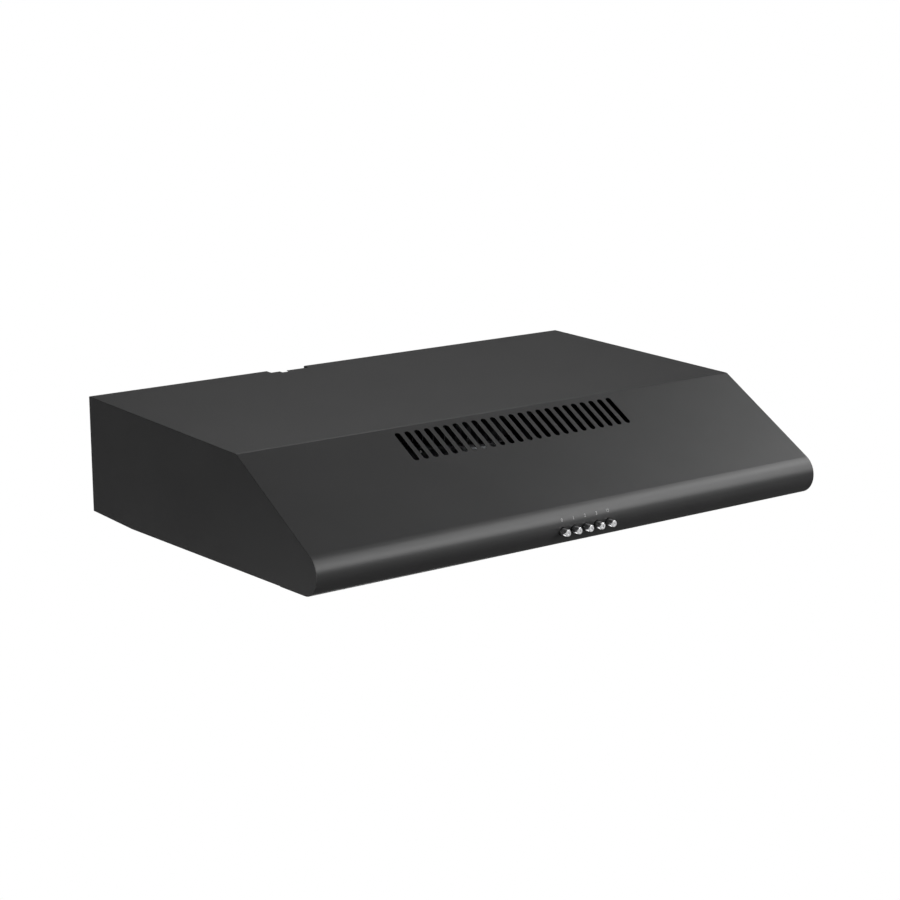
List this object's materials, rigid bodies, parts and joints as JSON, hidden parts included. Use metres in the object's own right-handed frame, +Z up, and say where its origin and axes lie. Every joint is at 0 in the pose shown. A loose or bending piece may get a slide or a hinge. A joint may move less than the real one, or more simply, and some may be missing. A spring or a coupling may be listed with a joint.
{
  "type": "under cabinet range hood",
  "caption": "Slim under-cabinet range hood with a sloped slotted front, rounded nose, push buttons, drop-down grease filters and a recirculating blower.",
  "frame": {"origin": "middle of the rear top edge, where the wall plane and the cabinet's underside meet", "axes": "+X to the user's right, +Y to the wall, +Z up"},
  "size_m": [0.76, 0.5486, 0.1515],
  "materials": {
    "black_powder_coat": "fine matt black powder coat",
    "zinc_fastener": "bright zinc plate",
    "galvanised_steel": "galvanised, faint spangle",
    "motor_steel": "dark plated can",
    "ground_steel": "ground",
    "grey_plastic": "moulded",
    "black_plastic": "moulded",
    "white_plastic": "moulded",
    "rubber": "moulded",
    "aluminium_frame": "rolled sheet, satin",
    "aluminium_mesh": "expanded sheet",
    "spring_steel": "drawn wire",
    "chromed_button": "satin chrome",
    "lamp_bezel": "satin nickel plate",
    "frosted_lens": "frosted acrylic",
    "led_board": "white solder mask",
    "wire_sheath": "PVC sheath"
  },
  "bodies": {
    "hood": {"air_duct": "black_plastic", "back_panel": "black_powder_coat", "blower_housing": "galvanised_steel", "blower_inlet_plate": "galvanised_steel", "blower_nuts": "zinc_fastener", "blower_screws": "zinc_fastener", "blower_studs": "zinc_fastener", "button_spring_1": "spring_steel", "button_spring_2": "spring_steel", "button_spring_3": "spring_steel", "button_spring_4": "spring_steel", "button_spring_5": "spring_steel", "cable_bushing": "rubber", "canopy": "black_powder_coat", "capacitor": "white_plastic", "capacitor_clip": "galvanised_steel", "casing_rivets": "zinc_fastener", "lamp_board_left": "led_board", "lamp_board_right": "led_board", "lamp_driver": "white_plastic", "lamp_housing_left": "lamp_bezel", "lamp_housing_right": "lamp_bezel", "lamp_lens_left": "frosted_lens", "lamp_lens_right": "frosted_lens", "motor": "motor_steel", "motor_bracket": "galvanised_steel", "motor_grommets": "rubber", "motor_screws": "zinc_fastener", "pan_rivets": "zinc_fastener", "pan_screws": "zinc_fastener", "side_panel_left": "black_powder_coat", "side_panel_right": "black_powder_coat", "switch_bracket": "galvanised_steel", "switch_contacts": "black_plastic", "switch_housing": "black_plastic", "switch_screws": "zinc_fastener", "terminal_block": "white_plastic", "underside_pan": "black_powder_coat", "wiring_box": "black_plastic", "wiring_box_cover": "black_plastic", "wiring_harness": "wire_sheath"},
    "blower_wheel": {"impeller": "grey_plastic", "motor_shaft": "ground_steel", "impeller_nut": "zinc_fastener"},
    "charcoal_filter": {"charcoal_cartridge": "black_plastic"},
    "grease_filter_left": {"grease_filter_frame_left": "aluminium_frame", "grease_filter_mesh_left": "aluminium_mesh", "latch_spring_left": "spring_steel"},
    "latch_left": {"filter_latch_left": "black_plastic"},
    "grease_filter_right": {"grease_filter_frame_right": "aluminium_frame", "grease_filter_mesh_right": "aluminium_mesh", "latch_spring_right": "spring_steel"},
    "latch_right": {"filter_latch_right": "black_plastic"},
    "button_1": {"button_1": "chromed_button"},
    "button_2": {"button_2": "chromed_button"},
    "button_3": {"button_3": "chromed_button"},
    "button_4": {"button_4": "chromed_button"},
    "button_5": {"button_5": "chromed_button"}
  },
  "joints": [
    {"name": "impeller_spin", "type": "hinge", "parent": "hood", "child": "blower_wheel", "pos_m": [0.048, -0.19, -0.04], "axis": [0, 0, 1], "continuous": true},
    {"name": "charcoal_twist", "type": "hinge", "parent": "hood", "child": "charcoal_filter", "pos_m": [0.048, -0.19, -0.1], "axis": [0, 0, -1], "range_deg": [0, 25]},
    {"name": "grease_filter_left_drop", "type": "hinge", "parent": "hood", "child": "grease_filter_left", "pos_m": [-0.176, -0.02701, -0.14192], "axis": [1, 0, 0], "range_deg": [0, 60]},
    {"name": "latch_left_slide", "type": "slide", "parent": "grease_filter_left", "child": "latch_left", "axis": [0, 0.9989, -0.0473], "range_m": [0, 0.006], "stiffness_N_per_m": 400, "springref_m": -0.006, "deforming": ["latch_spring_left"]},
    {"name": "grease_filter_right_drop", "type": "hinge", "parent": "hood", "child": "grease_filter_right", "pos_m": [0.176, -0.02701, -0.14192], "axis": [1, 0, 0], "range_deg": [0, 60]},
    {"name": "latch_right_slide", "type": "slide", "parent": "grease_filter_right", "child": "latch_right", "axis": [0, 0.9989, -0.0473], "range_m": [0, 0.006], "stiffness_N_per_m": 400, "springref_m": -0.006, "deforming": ["latch_spring_right"]},
    {"name": "button_1_press", "type": "slide", "parent": "hood", "child": "button_1", "axis": [0, 1, 0], "range_m": [0, 0.0045], "stiffness_N_per_m": 300, "springref_m": -0.004, "deforming": ["button_spring_1"]},
    {"name": "button_2_press", "type": "slide", "parent": "hood", "child": "button_2", "axis": [0, 1, 0], "range_m": [0, 0.0045], "stiffness_N_per_m": 300, "springref_m": -0.004, "deforming": ["button_spring_2"]},
    {"name": "button_3_press", "type": "slide", "parent": "hood", "child": "button_3", "axis": [0, 1, 0], "range_m": [0, 0.0045], "stiffness_N_per_m": 300, "springref_m": -0.004, "deforming": ["button_spring_3"]},
    {"name": "button_4_press", "type": "slide", "parent": "hood", "child": "button_4", "axis": [0, 1, 0], "range_m": [0, 0.0045], "stiffness_N_per_m": 300, "springref_m": -0.004, "deforming": ["button_spring_4"]},
    {"name": "button_5_press", "type": "slide", "parent": "hood", "child": "button_5", "axis": [0, 1, 0], "range_m": [0, 0.0045], "stiffness_N_per_m": 300, "springref_m": -0.004, "deforming": ["button_spring_5"]}
  ]
}
